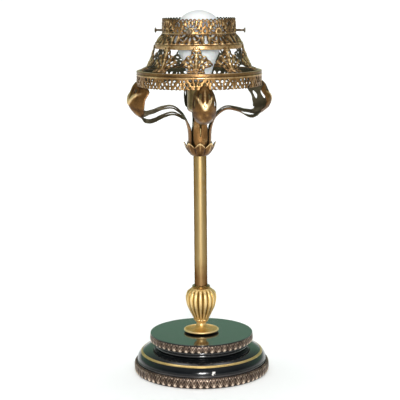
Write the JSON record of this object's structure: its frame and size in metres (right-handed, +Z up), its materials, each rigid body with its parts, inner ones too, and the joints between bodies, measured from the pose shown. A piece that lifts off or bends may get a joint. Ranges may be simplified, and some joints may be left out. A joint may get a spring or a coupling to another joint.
{
  "type": "table lamp",
  "caption": "Slim brass table lamp on a stepped black round base, with a fluted knop, ribbon arms and a pierced gallery that holds a shade by thumb screws around a screw-in bulb",
  "frame": {"origin": "centre of the base's underside, on the table", "axes": "+Z up along the column, -Y to the front, +X to the right seen from the front"},
  "size_m": [0.1744, 0.1716, 0.4445],
  "materials": {
    "black_lacquer": "glossy black lacquer over turned wood",
    "chased_brass": "stamped relief, dark in the recesses, rubbed bright on the high spots",
    "gilding": "soft gilt line",
    "black_plastic": "moulded insulating plastic",
    "plain_steel": "plain",
    "polished_brass": "polished, lightly aged",
    "satin_brass": "satin, aged brown in places",
    "plain_brass": "plain",
    "leaf_brass": "aged, dark olive on the inner faces",
    "aged_brass": "pierced and aged, dark in the recesses, bright on the edges",
    "white_insulator": "moulded insulator",
    "dark_steel": "darkened",
    "bulb_cap_metal": "threaded shell",
    "frosted_glass": "frosted white inside"
  },
  "bodies": {
    "lamp": {"lower_plinth": "black_lacquer", "plinth_band": "chased_brass", "gilt_line": "gilding", "upper_plinth": "black_lacquer", "upper_band": "chased_brass", "cord_bushing": "black_plastic", "base_washer": "plain_steel", "base_nut": "plain_steel", "lamp_pipe": "plain_brass", "foot_dish": "polished_brass", "knop_neck": "polished_brass", "fluted_knop": "polished_brass", "knop_collar": "polished_brass", "column_tube": "satin_brass", "tube_bush_low": "plain_brass", "tube_bush_high": "plain_brass", "calyx_cup": "satin_brass", "arm_hub": "plain_brass", "hub_set_screw": "polished_brass", "hub_nut": "plain_brass", "arm_front": "leaf_brass", "arm_right": "leaf_brass", "arm_back": "leaf_brass", "arm_left": "leaf_brass", "gallery_band": "aged_brass", "gallery_shoulder": "aged_brass", "palmette_skirt": "aged_brass", "mid_ring": "aged_brass", "upper_skirt": "aged_brass", "fitter_ring": "aged_brass", "screw_bosses": "plain_brass", "socket_dome": "plain_brass", "socket_body": "plain_brass", "socket_insulator": "white_insulator", "socket_thread": "plain_brass", "socket_contact": "plain_brass"},
    "shank_front": {"thumb_shank_front": "dark_steel"},
    "knob_front": {"thumb_knob_front": "dark_steel"},
    "shank_right": {"thumb_shank_right": "dark_steel"},
    "knob_right": {"thumb_knob_right": "dark_steel"},
    "shank_back": {"thumb_shank_back": "dark_steel"},
    "knob_back": {"thumb_knob_back": "dark_steel"},
    "shank_left": {"thumb_shank_left": "dark_steel"},
    "knob_left": {"thumb_knob_left": "dark_steel"},
    "bulb_base": {"bulb_cap": "bulb_cap_metal", "bulb_insulator": "black_plastic", "bulb_contact": "plain_steel"},
    "bulb_globe": {"bulb_glass": "frosted_glass"}
  },
  "joints": [
    {"name": "thumb_front_advance", "type": "slide", "parent": "lamp", "child": "shank_front", "axis": [-0.2957, -0.9553, 0], "range_m": [-0.0035, 0.004]},
    {"name": "thumb_front_turn", "type": "hinge", "parent": "shank_front", "child": "knob_front", "pos_m": [-0.01538, -0.04967, 0.4209], "axis": [-0.2957, -0.9553, 0], "range_deg": [-2532.6, 2894.4]},
    {"name": "thumb_right_advance", "type": "slide", "parent": "lamp", "child": "shank_right", "axis": [0.9553, -0.2957, 0], "range_m": [-0.005, 0.0025]},
    {"name": "thumb_right_turn", "type": "hinge", "parent": "shank_right", "child": "knob_right", "pos_m": [0.04967, -0.01538, 0.4209], "axis": [0.9553, -0.2957, 0], "range_deg": [-3618, 1809]},
    {"name": "thumb_back_advance", "type": "slide", "parent": "lamp", "child": "shank_back", "axis": [0.2957, 0.9553, 0], "range_m": [-0.0035, 0.004]},
    {"name": "thumb_back_turn", "type": "hinge", "parent": "shank_back", "child": "knob_back", "pos_m": [0.01538, 0.04967, 0.4209], "axis": [0.2957, 0.9553, 0], "range_deg": [-2532.6, 2894.4]},
    {"name": "thumb_left_advance", "type": "slide", "parent": "lamp", "child": "shank_left", "axis": [-0.9553, 0.2957, 0], "range_m": [-0.0025, 0.005]},
    {"name": "thumb_left_turn", "type": "hinge", "parent": "shank_left", "child": "knob_left", "pos_m": [-0.04967, 0.01538, 0.4209], "axis": [-0.9553, 0.2957, 0], "range_deg": [-1809, 3618]},
    {"name": "bulb_lift", "type": "slide", "parent": "lamp", "child": "bulb_base", "axis": [0, 0, 1], "range_m": [0, 0.0255]},
    {"name": "bulb_turn", "type": "hinge", "parent": "bulb_base", "child": "bulb_globe", "pos_m": [0, 0, 0.4], "axis": [0, 0, 1], "range_deg": [0, 2542]}
  ],
  "couplings": [
    {"joint": "thumb_front_turn", "follows": "thumb_front_advance", "rad_per_m": 12566},
    {"joint": "thumb_right_turn", "follows": "thumb_right_advance", "rad_per_m": 12566},
    {"joint": "thumb_back_turn", "follows": "thumb_back_advance", "rad_per_m": 12566},
    {"joint": "thumb_left_turn", "follows": "thumb_left_advance", "rad_per_m": 12566},
    {"joint": "bulb_turn", "follows": "bulb_lift", "rad_per_m": 1731.4}
  ]
}
